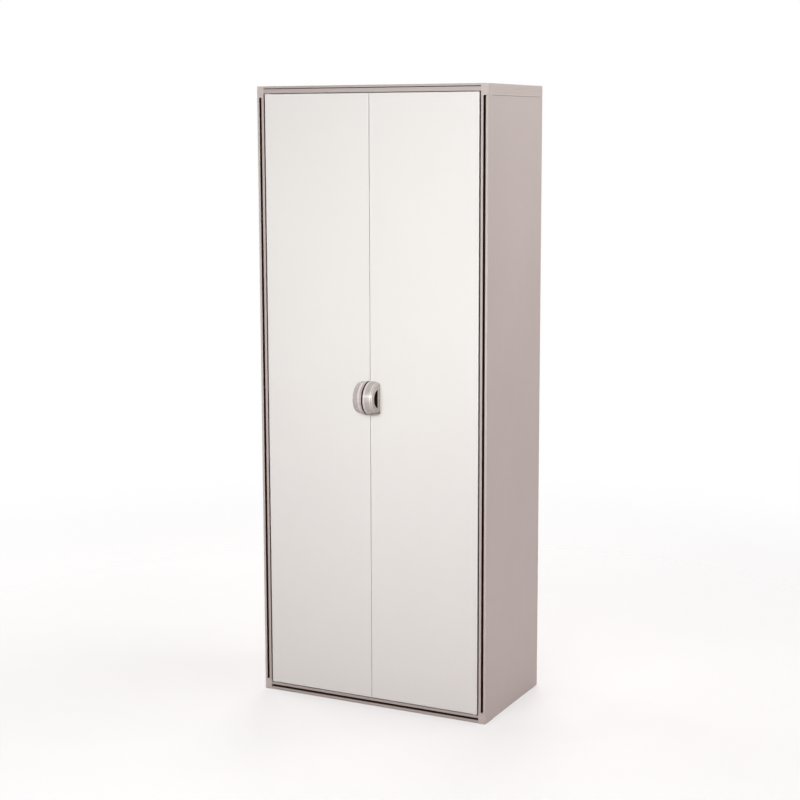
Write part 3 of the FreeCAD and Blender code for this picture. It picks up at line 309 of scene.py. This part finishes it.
# painted light: lighter copies of the same frame paint for the posts and the top side rails, tuned to how light falls
# on them, not a second paint
POST_PAINTED_LIGHT_COPY = powder_coat("frame_profile_coat_post_painted_light", (0.562, 0.508, 0.476), 0.36, peel=0.00010, cloud=0.02,
                      edge_radius=0.0009, worn=1.16, grain_axis=(1.0, 1.0, 0.012))
SIDE_RAIL_PAINTED_LIGHT_COPY = powder_coat("frame_profile_coat_side_rail_painted_light", (0.636, 0.590, 0.552), 0.36, peel=0.00010, cloud=0.02,
                       edge_radius=0.0009, worn=1.16, grain_axis=(1.0, 0.012, 1.0))
for part in frame["record"]["subparts"]:
    node = NODES[part["node"]]
    paint = MATERIALS[part["material_slot"]]
    # posts and top side rails take the lighter, painted-light copies of the frame paint
    if part["node"].endswith("_front_post"):
        paint = POST_PAINTED_LIGHT_COPY
    elif part["node"].endswith("_top_side_rail"):
        paint = SIDE_RAIL_PAINTED_LIGHT_COPY
    if not node.material_slots:
        node.data.materials.append(paint)
    for s in node.material_slots:
        s.material = paint

# ------------------------------------------------------------------ floor, light
def floor():
    mesh = bpy.data.meshes.new("floor")
    rings, spokes = [0.0, 0.6, 1.2, 2.4, 4.0, 7.0, 10.0, 14.0], 72
    verts, faces = [(0, 0, 0)], []
    for r in rings[1:]:
        for i in range(spokes):
            a = 2 * math.pi * i / spokes
            verts.append((r * math.cos(a), r * math.sin(a), 0))
    for i in range(spokes):
        faces.append((0, 1 + i, 1 + (i + 1) % spokes))
    for k in range(len(rings) - 2):
        p, q = 1 + k * spokes, 1 + (k + 1) * spokes
        for i in range(spokes):
            j = (i + 1) % spokes
            faces.append((p + i, q + i, q + j, p + j))
    mesh.from_pydata(verts, [], faces)
    mesh.update()
    o = bpy.data.objects.new("floor", mesh)
    SCENE.collection.objects.link(o)
    m, g = material("pale_floor")
    at = g.place()
    tone = g.noise(at, 1.6, 4.0, 0.55)
    fine = g.noise(at, 260.0, 2.0, 0.5)
    base = g.mix(g.ramp(tone, 0.3, 0.7), rgb(0.86, 0.86, 0.855), rgb(0.89, 0.89, 0.885))
    seen = g.add("ShaderNodeLightPath", out="Is Camera Ray")
    base = g.mix(seen, rgb(0.505, 0.468, 0.468), base)
    bsdf = g.add("ShaderNodeBsdfPrincipled", {"Base Color": base, "Roughness": 0.55, "Specular IOR Level": 0.25,
                                              "Normal": g.bump(fine, 0.0002)}, out="BSDF")
    clear = g.add("ShaderNodeBsdfTransparent", out="BSDF")
    dist = g.add("ShaderNodeVectorMath", {0: at}, out="Value", operation="LENGTH")
    fade = g.math("MULTIPLY", g.ramp(dist, 0.6, 3.6, 0.50, 1.0, smooth=True), seen)
    g.add("ShaderNodeOutputMaterial", {"Surface": g.add("ShaderNodeMixShader", {0: fade, 1: bsdf, 2: clear}, out="Shader")})
    mesh.materials.append(m)


def world():
    w = bpy.data.worlds.new("studio")
    SCENE.world = w
    w.use_nodes = True
    g = Graph(w.node_tree)
    white = g.add("ShaderNodeBackground", {"Color": rgb(1, 1, 1), "Strength": 1.0}, out="Background")
    z = g.add("ShaderNodeSeparateXYZ", {0: g.add("ShaderNodeTexCoord", out="Generated")}, out="Z")
    dome = g.mix(g.ramp(z, 0.0, 0.7, smooth=True), rgb(0.112, 0.072, 0.076), rgb(0.149, 0.072, 0.076))
    soft = g.add("ShaderNodeBackground", {"Color": dome, "Strength": 1.0}, out="Background")
    seen = g.add("ShaderNodeLightPath", out="Is Camera Ray")
    g.add("ShaderNodeOutputWorld", {"Surface": g.add("ShaderNodeMixShader", {0: seen, 1: soft, 2: white}, out="Shader")})


def softbox(name, at, to, size_x, size_y, power, colour=(1, 1, 1)):
    d = bpy.data.lights.new(name, "AREA")
    d.shape, d.size, d.size_y, d.energy, d.color = "RECTANGLE", size_x, size_y, power, colour
    o = bpy.data.objects.new(name, d)
    o.location = at
    o.rotation_mode = "QUATERNION"
    o.rotation_quaternion = (Vector(to) - Vector(at)).to_track_quat("-Z", "Y")
    SCENE.collection.objects.link(o)
    o.visible_camera = False


floor()
world()
softbox("front_high", (0.3, -2.6, 2.5), (0.1, -0.2, 1.5), 1.8, 1.2, 14.5, (0.958, 1.0, 0.986))
softbox("front_mid", (0.4, -3.0, 1.6), (0.1, -0.2, 1.4), 2.0, 1.6, 9.5)
softbox("front_centre", (0.2, -1.8, 1.2), (0.1, -0.2, 1.2), 1.2, 1.0, 8.4, (0.960, 1.0, 0.986))
softbox("front_low", (0.3, -2.2, 0.75), (0.1, -0.2, 0.65), 1.4, 1.0, 2.3, (1.0, 0.84, 0.86))
softbox("pull_strip", (-0.35, -3.1, 2.05), (0.0, -0.26, 1.01), 1.6, 0.25, 20.0)
softbox("side_mid", (3.2, 0.1, 1.5), (0.4, 0.0, 1.2), 1.6, 1.6, 17.5)
softbox("side_near", (1.7, 0.0, 2.4), (0.4, 0.0, 1.7), 1.2, 0.9, 3.7)
softbox("side_rear", (2.4, 1.6, 2.6), (0.4, 0.0, 1.3), 1.4, 1.0, 27.7)
softbox("side_low", (2.6, -0.3, 1.0), (0.4, 0.0, 0.8), 1.2, 1.0, 7.2, (1.0, 0.92, 0.94))
softbox("rear_fill", (-1.0, 3.0, 2.2), (0.0, 0.2, 1.1), 2.0, 1.6, 62.0)
softbox("left_fill", (-3.2, 0.4, 1.9), (-0.4, 0.0, 1.1), 1.8, 1.6, 48.0)
softbox("top_fill", (0.0, 0.15, 4.4), (0.0, 0.0, 1.98), 1.6, 1.2, 24.0)
